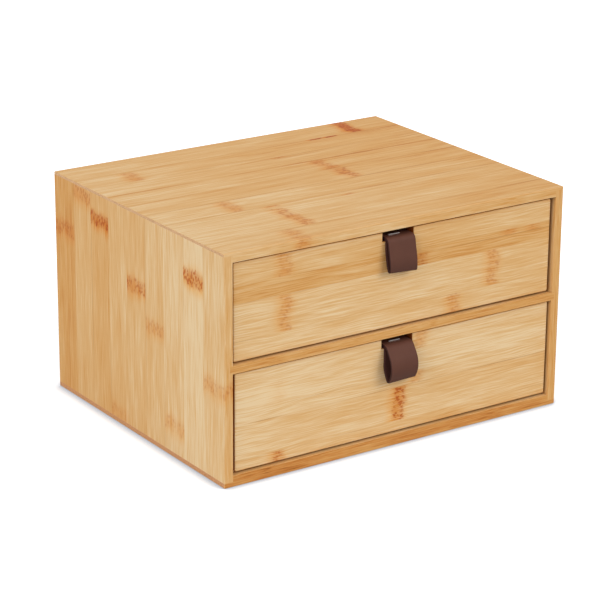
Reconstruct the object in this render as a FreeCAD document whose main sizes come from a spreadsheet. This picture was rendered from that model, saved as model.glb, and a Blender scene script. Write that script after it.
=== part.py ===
import FreeCAD, Part

# Desk drawer organizer: a bamboo carcass with two sliding drawers and looped strap pulls.
#
# Frame, in millimetres: the origin is the centre of the carcass's underside. +X points to the
# viewer's right, +Z up, and the drawers open towards -Y.

import math
import os
import re

import Sketcher
from FreeCAD import Vector

# Driving dimensions

SIZES = (
    # Carcass
    ("outer_width", 250, "carcass across, side to side"),
    ("outer_depth", 200, "carcass front to back"),
    ("outer_height", 145, "carcass floor to top"),
    ("side_thickness", 6, "side panels"),
    ("top_thickness", 6, "top panel"),
    ("bottom_thickness", 7, "bottom panel"),
    ("shelf_thickness", 5, "middle shelf"),
    ("back_thickness", 5, "back panel"),
    ("top_lap", 1.8, "what the top's rabbet leaves over the side panels"),
    ("bottom_lap", 3.2, "what the bottom's rabbet leaves under the side panels"),
    ("lower_bay", 64, "clear height of the lower drawer's bay"),
    ("shelf_housing", 2, "depth of the side panels' grooves for the shelf"),
    ("back_rabbet", 3, "how far the back panel laps into its neighbours"),
    ("edge_round", 0.6, "sanded outer arrises of the carcass"),
    # Drawers
    ("front_recess", 1.8, "drawer fronts behind the carcass's front edges"),
    ("side_clearance", 2, "gap at each side of a centred drawer"),
    ("upper_shift", -0.4, "where the loose upper drawer sits, off centre"),
    ("lower_shift", 0.4, "where the loose lower drawer sits, off centre"),
    ("front_top_gap", 1.1, "gap over a drawer front"),
    ("front_bottom_gap", 1.3, "gap under a drawer front"),
    ("front_thickness", 8, "drawer front"),
    ("front_lip", 4, "front's thickness left outside the drawer sides' ends"),
    ("front_round", 0.8, "sanded arrises of the drawer front"),
    ("front_corner", 1.2, "rounded corners of the drawer front, seen from the front"),
    ("drawer_side_thickness", 5, "drawer sides"),
    ("drawer_back_thickness", 5, "drawer back"),
    ("drawer_floor_thickness", 3, "drawer bottom panel"),
    ("drawer_side_drop", 2, "drawer sides' top edge below the front's"),
    ("drawer_edge_round", 0.5, "sanded top arrises of the drawer sides and back"),
    ("corner_rabbet", 2.5, "how far the drawer back laps into the sides"),
    ("groove_depth", 2, "grooves that hold the drawer bottom"),
    ("groove_rise", 3, "drawer bottom above the sides' lower edges"),
    ("brad_width", 1.25, "brads' flat wire, across its wide side"),
    ("brad_thickness", 1, "brads' flat wire, across its thin side"),
    ("brad_head_width", 2, "brads' head, as thick as the wire the other way"),
    ("brad_head_height", 0.8, "brads' head along the nail"),
    ("brad_length", 14, "corner brads"),
    ("brad_inset", 12, "corner brads from the sides' top and bottom edges"),
    ("floor_brad_length", 12, "brads up through the drawer bottom into the back"),
    ("floor_brad_spacing", 75, "between those brads"),
    # Pulls
    ("notch_width", 22.8, "notch in the front's top edge"),
    ("notch_depth", 5.8, "notch below the front's top edge"),
    ("notch_shift", -0.3, "notch off the drawer's centre line"),
    ("strap_width", 20, "strap"),
    ("strap_thickness", 1.25, "strap"),
    ("strap_shift", -0.4, "strap off the notch's centre line"),
    ("strap_end_setback", 0.6, "strap ends in from the front's rear face"),
    ("layer_gap", 0.1, "between the two stapled layers"),
    ("arris_clearance", 0.1, "strap's bend inside the notch's rounded arris"),
    ("crease_radius", 1.1, "straps' pressed crease at the bottom, to the middle line"),
    ("upper_bend_radius", 3, "upper pull's outer layer where it leaves the notch"),
    ("upper_leave_angle", 12, "degrees that layer leaves the vertical by"),
    ("upper_hanging_run", 9.8, "straight stretch between that bend and the belly"),
    ("upper_belly_radius", 28, "upper pull's belly"),
    ("upper_tuck_angle", 4, "degrees the belly turns back in by"),
    ("upper_lean_angle", 14, "degrees the rear layer leans back by above the crease"),
    ("upper_rest_radius", 28, "upper pull's rear layer where it comes to rest on the front"),
    ("lower_bend_radius", 4, "lower pull's outer layer where it leaves the notch"),
    ("lower_leave_angle", 34, "degrees that layer leaves the vertical by"),
    ("lower_hanging_run", 5, "straight stretch between that bend and the belly"),
    ("lower_belly_radius", 13.5, "lower pull's belly"),
    ("lower_tuck_angle", 37, "degrees the belly turns back in by"),
    ("lower_lean_angle", 28, "degrees the rear layer leans back by above the crease"),
    ("lower_rest_radius", 12, "lower pull's rear layer where it comes to rest on the front"),
    # Staples
    ("staple_crown", 8.2, "staple across its legs"),
    ("staple_leg", 7, "staple leg below the crown's underside"),
    ("staple_wire_width", 1.1, "flat wire, front to back"),
    ("staple_wire_thickness", 0.6, "flat wire, through its thin side"),
    ("staple_setback", 3, "crown's centre behind the front's face"),
    ("upper_staple_shift", -0.9, "upper staple off its strap's centre line"),
    ("lower_staple_shift", 0.1, "lower staple off its strap's centre line"),
)

doc = FreeCAD.newDocument("DeskDrawerOrganizer")
sheet = doc.addObject("Spreadsheet::Sheet", "Sizes")
for row, (alias, value, note) in enumerate(SIZES, start=1):
    sheet.set(f"A{row}", note)
    sheet.set(f"B{row}", str(value))
    sheet.setAlias(f"B{row}", alias)
doc.recompute()

ALIASES = {alias for alias, value, note in SIZES}


def size(text):
    """The number that a formula of sizes comes to."""
    return float(sheet.evalExpression(text))


def bind(thing, prop, text):
    """Drive one property of an object with a formula of sizes."""
    words = re.compile(r"[a-z_]+")
    linked = words.sub(lambda word: f"Sizes.{word[0]}" if word[0] in ALIASES else word[0], text)
    thing.setExpression(prop, linked)


# Formulas that several pieces share

HALF_WIDTH = "outer_width / 2"
CARCASS_FRONT = "-outer_depth / 2"
CARCASS_REAR = "outer_depth / 2"
INNER_HALF = "(outer_width / 2 - side_thickness)"
BACK_FACE = "(outer_depth / 2 - back_thickness)"
SHELF_UNDERSIDE = "(bottom_thickness + lower_bay)"
SHELF_TOP = "(bottom_thickness + lower_bay + shelf_thickness)"
BACK_LOW = "bottom_thickness - back_rabbet"
BACK_HIGH = "outer_height - top_thickness + back_rabbet"

DRAWER_HALF = f"({INNER_HALF} - side_clearance)"
DRAWER_INNER_HALF = f"({DRAWER_HALF} - drawer_side_thickness)"
FRONT_FACE = "(front_recess - outer_depth / 2)"
FRONT_REAR = f"({FRONT_FACE} + front_thickness)"
SIDE_START = f"({FRONT_FACE} + front_lip)"
DRAWER_BACK_FACE = f"({BACK_FACE} - drawer_back_thickness)"
FLOOR_TOP = "(groove_rise + drawer_floor_thickness)"

STRAP_INSIDE = "(front_thickness - strap_end_setback)"
STRAP_MIDDLE = "(notch_shift + strap_shift)"
ARRIS_RADIUS = "(front_round - arris_clearance)"

# Where each drawer's bay starts and how high it is
BAYS = {
    "upper": (SHELF_TOP, f"(outer_height - top_thickness - {SHELF_TOP})"),
    "lower": ("bottom_thickness", "lower_bay"),
}

pieces = {}

# A sketch's origin, as its constraints name it
ORIGIN = (-1, 1)


# Building steps

def new_body(name):
    body = doc.addObject("PartDesign::Body", name)
    body.Label = name
    pieces[name] = body
    return body


def new_sketch(body, name, role, offset="0"):
    """A sketch on one of the body's own origin planes, moved along that plane's normal."""
    sketch = body.newObject("Sketcher::SketchObject", name)
    plane = next(item for item in body.Origin.OriginFeatures if item.Role == role)
    sketch.AttachmentSupport = [(plane, "")]
    sketch.MapMode = "FlatFace"
    bind(sketch, "AttachmentOffset.Base.z", offset)
    return sketch


def dimension(sketch, kind, places, text):
    """A dimension of a sketch, driven by a formula of sizes. Angles are in degrees."""
    value = math.radians(size(text)) if kind == "Angle" else size(text)
    index = sketch.addConstraint(Sketcher.Constraint(kind, *places, value))
    bind(sketch, f"Constraints[{index}]", text)


def draw_rectangle(sketch, x_span, y_span):
    """Four lines whose two opposite corners are dimensioned from the sketch's origin."""
    x_low, x_high = (size(text) for text in x_span)
    y_low, y_high = (size(text) for text in y_span)
    corners = [Vector(x_low, y_low), Vector(x_high, y_low), Vector(x_high, y_high), Vector(x_low, y_high)]
    for start, end in zip(corners, corners[1:] + corners[:1]):
        sketch.addGeometry(Part.LineSegment(start, end))
    for line in range(4):
        sketch.addConstraint(Sketcher.Constraint("Coincident", line, 2, (line + 1) % 4, 1))
    for line, direction in enumerate(("Horizontal", "Vertical", "Horizontal", "Vertical")):
        sketch.addConstraint(Sketcher.Constraint(direction, line))
    for line, x_text, y_text in ((0, x_span[0], y_span[0]), (2, x_span[1], y_span[1])):
        dimension(sketch, "DistanceX", (*ORIGIN, line, 1), x_text)
        dimension(sketch, "DistanceY", (*ORIGIN, line, 1), y_text)


def board(name, x_span, y_span, z_span):
    """A board as a body: its outline seen from above, padded from its lower to its upper face."""
    body = new_body(name)
    sketch = new_sketch(body, f"{name}_outline", "XY_Plane", z_span[0])
    draw_rectangle(sketch, x_span, y_span)
    pad = body.newObject("PartDesign::Pad", f"{name}_board")
    pad.Profile = sketch
    bind(pad, "Length", f"({z_span[1]}) - ({z_span[0]})")
    doc.recompute()
    return body


def cut(body, name, x_span, y_span, z_span):
    """A rabbet, groove or notch in a board, cut downwards from its upper level."""
    before = body.Shape.Volume
    full_name = f"{body.Label}_{name}"
    sketch = new_sketch(body, f"{full_name}_outline", "XY_Plane", z_span[1])
    draw_rectangle(sketch, x_span, y_span)
    pocket = body.newObject("PartDesign::Pocket", full_name)
    pocket.Profile = sketch
    bind(pocket, "Length", f"({z_span[1]}) - ({z_span[0]})")
    doc.recompute()
    if not body.Shape.Volume < before:
        raise RuntimeError(f"{full_name} cuts nothing")


def round_edges(body, name, radius, wanted):
    """Fillet every edge of the body that the test picks."""
    edges = [f"Edge{i}" for i, edge in enumerate(body.Shape.Edges, start=1) if wanted(edge)]
    rounded = body.Tip
    fillet = body.newObject("PartDesign::Fillet", f"{body.Label}_{name}")
    fillet.Base = (rounded, edges)
    bind(fillet, "Radius", radius)
    doc.recompute()


def near(value, target):
    return abs(value - target) < 1e-4


def runs_along(edge, axis):
    """True for a straight edge parallel to the X, Y or Z axis."""
    if not isinstance(edge.Curve, (Part.Line, Part.LineSegment)):
        return False
    direction = edge.tangentAt(edge.FirstParameter)
    return near(abs(getattr(direction, axis)), 1)


def middle(edge):
    return edge.BoundBox.Center


def place_in_bay(thing, level):
    """Move a drawer's piece from the drawer's own frame to its bay."""
    bind(thing, "Placement.Base.x", f"{level}_shift")
    bind(thing, "Placement.Base.z", BAYS[level][0])


# Carcass

def make_top_and_bottom():
    """Two boards rabbeted at their ends, so that a thin lap covers the side panels' end grain."""
    width = (f"-{HALF_WIDTH}", HALF_WIDTH)
    depth = (CARCASS_FRONT, CARCASS_REAR)
    top = board("top_panel", width, depth, ("outer_height - top_thickness", "outer_height"))
    bottom = board("bottom_panel", width, depth, ("0", "bottom_thickness"))
    for panel, z_span, back_span in (
            (top, ("outer_height - top_thickness", "outer_height - top_lap"),
             ("outer_height - top_thickness", BACK_HIGH)),
            (bottom, ("bottom_lap", "bottom_thickness"), (BACK_LOW, "bottom_thickness"))):
        cut(panel, "left_rabbet", (f"-{HALF_WIDTH}", f"-{INNER_HALF}"), depth, z_span)
        cut(panel, "right_rabbet", (INNER_HALF, HALF_WIDTH), depth, z_span)
        cut(panel, "back_rabbet", (f"-{INNER_HALF}", INNER_HALF), (BACK_FACE, CARCASS_REAR), back_span)
    for panel, level in ((top, size("outer_height")), (bottom, 0)):
        round_edges(panel, "arrises", "edge_round",
                    lambda edge: near(edge.BoundBox.ZMin, level) and near(edge.BoundBox.ZMax, level)
                    or runs_along(edge, "z") and is_outer_corner(edge))


def is_outer_corner(edge):
    """True for an upright edge at one of the carcass's four corners."""
    return (near(abs(middle(edge).x), size(HALF_WIDTH)) and near(abs(middle(edge).y), size(CARCASS_REAR)))


def make_side_panels():
    """Upright boards between the laps of top and bottom, grooved for the shelf and rabbeted for the back."""
    for name, side in (("left_side_panel", "-"), ("right_side_panel", "")):
        panel = board(name, (f"{side}{INNER_HALF}", f"{side}{HALF_WIDTH}"), (CARCASS_FRONT, CARCASS_REAR),
                      ("bottom_lap", "outer_height - top_lap"))
        cut(panel, "shelf_housing", (f"{side}{INNER_HALF}", f"{side}({INNER_HALF} + shelf_housing)"),
            (CARCASS_FRONT, BACK_FACE), (SHELF_UNDERSIDE, SHELF_TOP))
        cut(panel, "back_rabbet", (f"{side}{INNER_HALF}", f"{side}({INNER_HALF} + back_rabbet)"),
            (BACK_FACE, CARCASS_REAR), (BACK_LOW, BACK_HIGH))
        round_edges(panel, "arrises", "edge_round",
                    lambda edge: runs_along(edge, "z") and is_outer_corner(edge))


def make_shelf_and_back():
    board("middle_shelf", (f"-({INNER_HALF} + shelf_housing)", f"{INNER_HALF} + shelf_housing"),
          (CARCASS_FRONT, BACK_FACE), (SHELF_UNDERSIDE, SHELF_TOP))
    board("back_panel", (f"-({INNER_HALF} + back_rabbet)", f"{INNER_HALF} + back_rabbet"),
          (BACK_FACE, CARCASS_REAR), (BACK_LOW, BACK_HIGH))


# Drawer boxes, each drawn in its drawer's own frame: X from the drawer's middle, Z from the bay's floor

def front_top(level):
    return f"({BAYS[level][1]} - front_top_gap)"


def side_top(level):
    return f"({front_top(level)} - drawer_side_drop)"


def notch_floor(level):
    return f"({front_top(level)} - notch_depth)"


def make_front(level):
    """The drawer front: notch for the pull, rabbets for the sides' ends and a groove for the bottom."""
    name = f"{level}_drawer_front"
    front = board(name, (f"-{DRAWER_HALF}", DRAWER_HALF), (FRONT_FACE, FRONT_REAR),
                  ("front_bottom_gap", front_top(level)))
    cut(front, "notch", ("notch_shift - notch_width / 2", "notch_shift + notch_width / 2"),
        (FRONT_FACE, FRONT_REAR), (notch_floor(level), front_top(level)))
    round_edges(front, "corners", "front_corner",
                lambda edge: runs_along(edge, "y") and near(abs(middle(edge).x), size(DRAWER_HALF)))
    for side, span in (("left", (f"-{DRAWER_HALF}", f"-{DRAWER_INNER_HALF}")),
                       ("right", (DRAWER_INNER_HALF, DRAWER_HALF))):
        cut(front, f"{side}_rabbet", span, (SIDE_START, FRONT_REAR), ("0", front_top(level)))
    cut(front, "bottom_groove", (f"-{DRAWER_INNER_HALF}", DRAWER_INNER_HALF),
        (f"{FRONT_REAR} - groove_depth", FRONT_REAR), ("groove_rise", FLOOR_TOP))
    round_edges(front, "arrises", "front_round",
                lambda edge: near(edge.BoundBox.YMin, size(FRONT_FACE))
                and near(edge.BoundBox.YMax, size(FRONT_FACE)))
    return front


def make_sides(level):
    """Drawer sides: grooved for the bottom panel and rabbeted for the back."""
    for name, sign in ((f"{level}_drawer_left_side", "-"), (f"{level}_drawer_right_side", "")):
        side = board(name, (f"{sign}{DRAWER_INNER_HALF}", f"{sign}{DRAWER_HALF}"), (SIDE_START, BACK_FACE),
                     ("0", side_top(level)))
        above_floor = (FLOOR_TOP, side_top(level))
        for joint, depth, y_span, z_span in (
                ("bottom_groove", "groove_depth", (SIDE_START, BACK_FACE), ("groove_rise", FLOOR_TOP)),
                ("back_rabbet", "corner_rabbet", (DRAWER_BACK_FACE, BACK_FACE), above_floor)):
            x_span = (f"{sign}{DRAWER_INNER_HALF}", f"{sign}({DRAWER_INNER_HALF} + {depth})")
            cut(side, joint, x_span, y_span, z_span)
        round_edges(side, "arrises", "drawer_edge_round",
                    lambda edge: runs_along(edge, "y") and near(middle(edge).z, size(side_top(level))))


def make_back(level):
    """Drawer back: stands on the bottom panel, its ends in the sides' rabbets."""
    back = board(f"{level}_drawer_back",
                 (f"-({DRAWER_INNER_HALF} + corner_rabbet)", f"{DRAWER_INNER_HALF} + corner_rabbet"),
                 (DRAWER_BACK_FACE, BACK_FACE), (FLOOR_TOP, side_top(level)))
    round_edges(back, "arrises", "drawer_edge_round",
                lambda edge: runs_along(edge, "x") and near(middle(edge).z, size(side_top(level))))


def make_floor(level):
    """Drawer bottom: a thin panel slid along the grooves from behind, under the back."""
    board(f"{level}_drawer_bottom",
          (f"-({DRAWER_INNER_HALF} + groove_depth)", f"{DRAWER_INNER_HALF} + groove_depth"),
          (f"{FRONT_REAR} - groove_depth", BACK_FACE), ("groove_rise", FLOOR_TOP))


def make_brad(name, x_text, y_text, z_text, direction, length):
    """One flat-wire nail with a T head, which starts at a point and is driven in some direction."""
    boxes = []
    for part, width, height in (("shank", "brad_width", length),
                                ("head", "brad_head_width", "brad_head_height")):
        box = doc.addObject("Part::Box", f"{name}_{part}")
        bind(box, "Length", width)
        bind(box, "Width", "brad_thickness")
        bind(box, "Height", height)
        bind(box, "Placement.Base.x", f"-({width}) / 2")
        bind(box, "Placement.Base.y", "-brad_thickness / 2")
        boxes.append(box)
    nail = doc.addObject("Part::Fuse", name)
    nail.Base, nail.Tool = boxes
    nail.Refine = True
    nail.Placement.Rotation = FreeCAD.Rotation(Vector(0, 0, 1), direction)
    for axis, text in (("x", x_text), ("y", y_text), ("z", z_text)):
        bind(nail, f"Placement.Base.{axis}", text)
    return nail


def make_brads(level):
    """The drawer's nails: two through each side into the front and the back, and a row up into the back."""
    name = f"{level}_drawer_brads"
    front_row = f"({SIDE_START} + {FRONT_REAR}) / 2"
    back_row = f"({DRAWER_BACK_FACE} + {BACK_FACE}) / 2"
    places = []
    for side in (-1, 1):
        inwards = Vector(-side, 0, 0)
        for y_text in (front_row, back_row):
            for z_text in ("brad_inset", f"{side_top(level)} - brad_inset"):
                places.append((f"{side} * {DRAWER_HALF}", y_text, z_text, inwards, "brad_length"))
    upwards = Vector(0, 0, 1)
    for step in (-1, 0, 1):
        x_text = f"{step} * floor_brad_spacing"
        places.append((x_text, back_row, "groove_rise", upwards, "floor_brad_length"))
    group = doc.addObject("Part::Compound", name)
    group.Label = name
    group.Links = [make_brad(f"{name}_{count}", *place) for count, place in enumerate(places, start=1)]
    pieces[name] = group
    return group


# Strap pulls

def upper_layer(level):
    return f"({notch_floor(level)} + 1.5 * strap_thickness + layer_gap)"


class Walk:
    """A line of straight runs and tangent bends, drawn by walking along it."""

    def __init__(self, start, heading):
        self.point = start
        self.heading = heading
        self.stretches = []
        self.length = 0

    def step(self, angle, distance):
        """The way of some distance at an angle to the left of the heading."""
        angle = math.radians(self.heading + angle)
        return Vector(math.cos(angle), math.sin(angle)) * distance

    def straight(self, length):
        end = self.point + self.step(0, length)
        self.stretches.append(Part.LineSegment(self.point, end))
        self.point = end
        self.length += length

    def bend(self, radius, turn):
        """Turn by some degrees, to the left where they are positive, about a centre one radius away."""
        side = math.copysign(90, turn)
        centre = self.point + self.step(side, radius)
        between, end = (centre - self.step(side + angle, radius) for angle in (turn / 2, turn))
        self.stretches.append(Part.Arc(self.point, between, end))
        self.point = end
        self.heading += turn
        self.length += radius * math.radians(abs(turn))


def strap_walk(level):
    """The strap's middle line seen from its end, as Y and Z of the drawer's frame.

    The upper layer runs out of the notch, bends down, hangs and swells into a belly as far as the crease.
    The rear layer leans back from there until it rests on the front's face, and bends over the arris back
    into the notch. Its leaning run is as long as brings it to the face.
    """
    half = size("strap_thickness / 2")
    inside = size(STRAP_INSIDE)
    arris = size(ARRIS_RADIUS)
    crease = size("crease_radius")
    bend, belly, rest = (size(f"{level}_{word}_radius") for word in ("bend", "belly", "rest"))
    leave, tuck, lean = (size(f"{level}_{word}_angle") for word in ("leave", "tuck", "lean"))

    outwards = 180
    walk = Walk(Vector(size(FRONT_FACE) + inside, size(upper_layer(level))), outwards)
    walk.straight(inside)
    walk.bend(bend, 90 - leave)
    walk.straight(size(f"{level}_hanging_run"))
    walk.bend(belly, leave + tuck)
    walk.bend(crease, 180 - tuck - lean)
    off_face = size(FRONT_FACE) - half - walk.point.x
    rest_share = rest * (1 - math.cos(math.radians(lean)))
    walk.straight((off_face - rest_share) / math.sin(math.radians(lean)))
    walk.bend(rest, lean)
    walk.straight(size(notch_floor(level)) - arris - walk.point.y)
    walk.bend(arris + half, -90)
    walk.straight(inside - arris)
    return walk


def end_at(sketch, line, point):
    """Which end of a sketch's line or arc lies at a point: 1 for its start and 2 for its end."""
    return 1 if sketch.getPoint(line, 1).isEqual(point, 1e-6) else 2


def draw_path(path, level, walk):
    """The walked line as a sketch: tangent throughout, with its ends, radii and turns tied to the sizes."""
    run, bend, hanging, belly, crease, leaning, rest, rise, arris_bend, tail = range(len(walk.stretches))
    for stretch in walk.stretches:
        path.addGeometry(stretch)
    for line, stretch in enumerate(walk.stretches[:tail]):
        ends = [end_at(path, neighbour, stretch.EndPoint) for neighbour in (line, line + 1)]
        path.addConstraint(Sketcher.Constraint("Tangent", line, ends[0], line + 1, ends[1]))
    for direction, line in (("Horizontal", run), ("Vertical", rise), ("Horizontal", tail)):
        path.addConstraint(Sketcher.Constraint(direction, line))
    for line, end, across, up in ((run, 1, f"{FRONT_FACE} + {STRAP_INSIDE}", upper_layer(level)),
                                  (run, 2, FRONT_FACE, None),
                                  (rise, 1, f"{FRONT_FACE} - strap_thickness / 2", None),
                                  (tail, 2, f"{FRONT_FACE} + {STRAP_INSIDE}",
                                   f"{notch_floor(level)} + strap_thickness / 2")):
        dimension(path, "DistanceX", (*ORIGIN, line, end), across)
        if up:
            dimension(path, "DistanceY", (*ORIGIN, line, end), up)
    dimension(path, "Distance", (hanging,), f"{level}_hanging_run")
    for arc, radius in ((bend, f"{level}_bend_radius"), (belly, f"{level}_belly_radius"),
                        (crease, "crease_radius"), (rest, f"{level}_rest_radius"),
                        (arris_bend, f"{ARRIS_RADIUS} + strap_thickness / 2")):
        dimension(path, "Radius", (arc,), radius)
    for arc, turn in ((bend, f"90 - {level}_leave_angle"), (rest, f"{level}_lean_angle"),
                      (belly, f"{level}_leave_angle + {level}_tuck_angle")):
        dimension(path, "Angle", (arc,), turn)


def make_pull(level):
    """The strap: its section swept along its middle line."""
    name = f"{level}_drawer_pull"
    pull = new_body(name)
    walk = strap_walk(level)
    path = new_sketch(pull, f"{name}_path", "YZ_Plane", STRAP_MIDDLE)
    draw_path(path, level, walk)
    doc.recompute()
    if not path.FullyConstrained:
        raise RuntimeError(f"{path.Label} isn't fully constrained")
    section = new_sketch(pull, f"{name}_section", "XZ_Plane", f"-({FRONT_FACE} + {STRAP_INSIDE})")
    draw_rectangle(section, *((f"{centre} - {across} / 2", f"{centre} + {across} / 2") for centre, across in
                              ((STRAP_MIDDLE, "strap_width"), (upper_layer(level), "strap_thickness"))))
    strap = pull.newObject("PartDesign::AdditivePipe", f"{name}_strap")
    strap.Profile = section
    strap.Spine = path
    doc.recompute()
    volume = size("strap_width * strap_thickness") * walk.length
    if not math.isclose(pull.Shape.Volume, volume, rel_tol=1e-3):
        raise RuntimeError(f"{name} isn't its section times its length")
    lowest = pull.Shape.BoundBox.ZMin
    reach = size(FRONT_FACE) - pull.Shape.BoundBox.YMin
    print(f"{name}: strap {walk.length:.1f} mm long, hangs {size(notch_floor(level)) - lowest:.1f} mm, "
          f"stands {reach:.1f} mm out")


def make_staple(level):
    """A wire staple: crown on top of the strap, two legs down through both layers into the wood."""
    name = f"{level}_pull_staple"
    staple = new_body(name)
    centre = f"notch_shift + strap_shift + {level}_staple_shift"
    seat = f"{notch_floor(level)} + 2 * strap_thickness + layer_gap"
    y_span = (f"{FRONT_FACE} + staple_setback - staple_wire_width / 2",
              f"{FRONT_FACE} + staple_setback + staple_wire_width / 2")
    sketch = new_sketch(staple, f"{name}_outline", "XY_Plane", f"{seat} - staple_leg")
    draw_rectangle(sketch, (f"{centre} - staple_crown / 2", f"{centre} + staple_crown / 2"), y_span)
    pad = staple.newObject("PartDesign::Pad", f"{name}_wire")
    pad.Profile = sketch
    bind(pad, "Length", "staple_leg + staple_wire_thickness")
    doc.recompute()
    cut(staple, "gap", (f"{centre} - staple_crown / 2 + staple_wire_thickness",
                        f"{centre} + staple_crown / 2 - staple_wire_thickness"), y_span,
        (f"{seat} - staple_leg", seat))
    top = staple.Shape.BoundBox.ZMax
    round_edges(staple, "shoulders", "staple_wire_thickness / 2",
                lambda edge: runs_along(edge, "y") and near(middle(edge).z, top))
    return staple


def seat_fasteners(name, body, fasteners):
    """The piece with the fasteners' own holes in it, in place of its plain body."""
    body.Label = f"{name}_blank"
    tool = fasteners[0]
    if len(fasteners) > 1:
        tool = doc.addObject("Part::Compound", f"{name}_fasteners")
        tool.Links = fasteners
    seated = doc.addObject("Part::Cut", f"{name}_seated")
    seated.Base = body
    seated.Tool = tool
    seated.Label = name
    pieces[name] = seated


def make_drawer(level):
    make_front(level)
    make_sides(level)
    make_back(level)
    make_floor(level)
    make_pull(level)
    brads = make_brads(level)
    staple = make_staple(level)
    for name, piece in pieces.items():
        if name.startswith(level):
            place_in_bay(piece, level)
    doc.recompute()
    for part, fasteners in (("front", [brads, staple]), ("left_side", [brads]), ("right_side", [brads]),
                            ("back", [brads]), ("bottom", [brads]), ("pull", [staple])):
        name = f"{level}_drawer_{part}"
        seat_fasteners(name, pieces[name], fasteners)


make_top_and_bottom()
make_side_panels()
make_shelf_and_back()
for level in BAYS:
    make_drawer(level)
doc.recompute()

# Checks before anything is written

for item in doc.Objects:
    if "Invalid" in item.State or "Error" in item.State:
        raise RuntimeError(f"{item.Label} failed: {item.State}")
for name, piece in pieces.items():
    shape = piece.Shape
    if shape.isNull() or not shape.isValid() or not shape.Solids:
        raise RuntimeError(f"{name} has no valid solid")

os.makedirs("parts", exist_ok=True)
for name, piece in pieces.items():
    piece.Shape.exportStep(f"parts/{name}.step")
    box = piece.Shape.BoundBox
    print(f"{name}: {len(piece.Shape.Solids)} solid(s), {piece.Shape.Volume / 1000:.2f} cm3, "
          f"{box.XLength:.1f} x {box.YLength:.1f} x {box.ZLength:.1f} mm")
print(f"{len(pieces)} pieces written")
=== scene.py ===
# %% [markdown]
# A bamboo box with two drawers, and how to dress its solids.
#
# The boards, their joints and the fasteners come ready made as solids, at their real size and place. This
# lesson gives every board the look of laminated bamboo, builds the two strap pulls as soft goods, and sets
# up light and a camera. The solids are loaded first, because everything that follows is measured from them.

# %% Load the solids
import math
import random

import bmesh
import bpy
from mathutils import Matrix, Vector


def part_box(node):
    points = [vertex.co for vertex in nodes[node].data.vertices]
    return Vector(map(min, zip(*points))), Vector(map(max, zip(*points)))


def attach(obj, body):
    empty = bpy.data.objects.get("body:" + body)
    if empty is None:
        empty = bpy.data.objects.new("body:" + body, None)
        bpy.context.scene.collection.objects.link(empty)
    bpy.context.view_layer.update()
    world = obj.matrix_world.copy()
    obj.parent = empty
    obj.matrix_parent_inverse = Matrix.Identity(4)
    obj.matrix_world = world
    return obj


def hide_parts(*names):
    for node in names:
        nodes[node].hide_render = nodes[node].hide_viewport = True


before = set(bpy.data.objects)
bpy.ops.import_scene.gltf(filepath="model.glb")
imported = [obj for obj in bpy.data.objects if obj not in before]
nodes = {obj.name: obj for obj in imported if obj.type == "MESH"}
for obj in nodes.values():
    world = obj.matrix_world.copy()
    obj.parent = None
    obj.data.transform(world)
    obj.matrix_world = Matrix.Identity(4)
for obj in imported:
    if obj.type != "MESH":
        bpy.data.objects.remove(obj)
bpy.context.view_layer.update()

# %% [markdown]
# A few small helpers carry the whole lesson. Lengths are written in millimetres and turned to metres.
# Colours are written as sRGB hex, as a paint shop or an image editor gives them, and shaders want them
# linear. Every material starts as an empty node tree. One helper adds a node to it, sets its properties and
# fills its sockets: a node given as a value is linked by its first output, a socket is linked as it is, and
# anything else is a constant. Many nodes hide the sockets that their settings leave unused, so only those in
# use are counted.

# %% Helpers for lengths, colours and nodes
MM = 0.001


def linear(hex_colour):
    """An sRGB hex colour as linear red, green, blue and alpha."""
    channels = [int(hex_colour[start:start + 2], 16) / 255 for start in (1, 3, 5)]
    return (*(c / 12.92 if c <= 0.04045 else ((c + 0.055) / 1.055) ** 2.4 for c in channels), 1)


def add(tree, kind, settings=None, inputs=None):
    """Add a shader node, set its properties, then link or set its inputs, given by name or number."""
    node = tree.nodes.new(f"ShaderNode{kind}")
    for name, value in (settings or {}).items():
        setattr(node, name, value)
    in_use = [socket for socket in node.inputs if socket.enabled]
    for key, value in (inputs or {}).items():
        socket = in_use[key] if isinstance(key, int) else next(one for one in in_use if one.name == key)
        if isinstance(value, bpy.types.Node):
            value = next(output for output in value.outputs if output.enabled)
        if isinstance(value, bpy.types.NodeSocket):
            tree.links.new(value, socket)
        else:
            socket.default_value = value
    return node


def new_material(name):
    """A material with an empty node tree."""
    material = bpy.data.materials.new(name)
    material.use_nodes = True
    material.node_tree.nodes.clear()
    return material, material.node_tree


print("linear mid grey:", round(linear("#808080")[0], 3))

# %% [markdown]
# The camera stands where the photographer stood: left of the front and a little above, far off with a long
# lens. Its place was worked out from the corners of the box, whose real size is known. A camera looks along
# its own -Z axis, so it is first tipped up from looking straight down, and then turned about the vertical.

# %% Camera
CAMERA_PLACE = Vector((-827.1, -1211.3, 579.2)) * MM
CAMERA_TURN = math.radians(34.18)
CAMERA_TILT = math.radians(19.34)
CAMERA_ROLL = math.radians(0.42)
LENS = 146.4
SENSOR_WIDTH = 36

scene = bpy.context.scene
camera = bpy.data.objects.new("camera", bpy.data.cameras.new("camera"))
camera.data.lens = LENS
camera.data.sensor_width = SENSOR_WIDTH
turned = Matrix.Rotation(-CAMERA_TURN, 4, "Z")
tipped_up = Matrix.Rotation(math.pi / 2 - CAMERA_TILT, 4, "X")
rolled = Matrix.Rotation(CAMERA_ROLL, 4, "Z")
camera.matrix_world = Matrix.Translation(CAMERA_PLACE) @ turned @ tipped_up @ rolled
scene.collection.objects.link(camera)
scene.camera = camera
print("camera distance in mm:", round(CAMERA_PLACE.length / MM))

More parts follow.
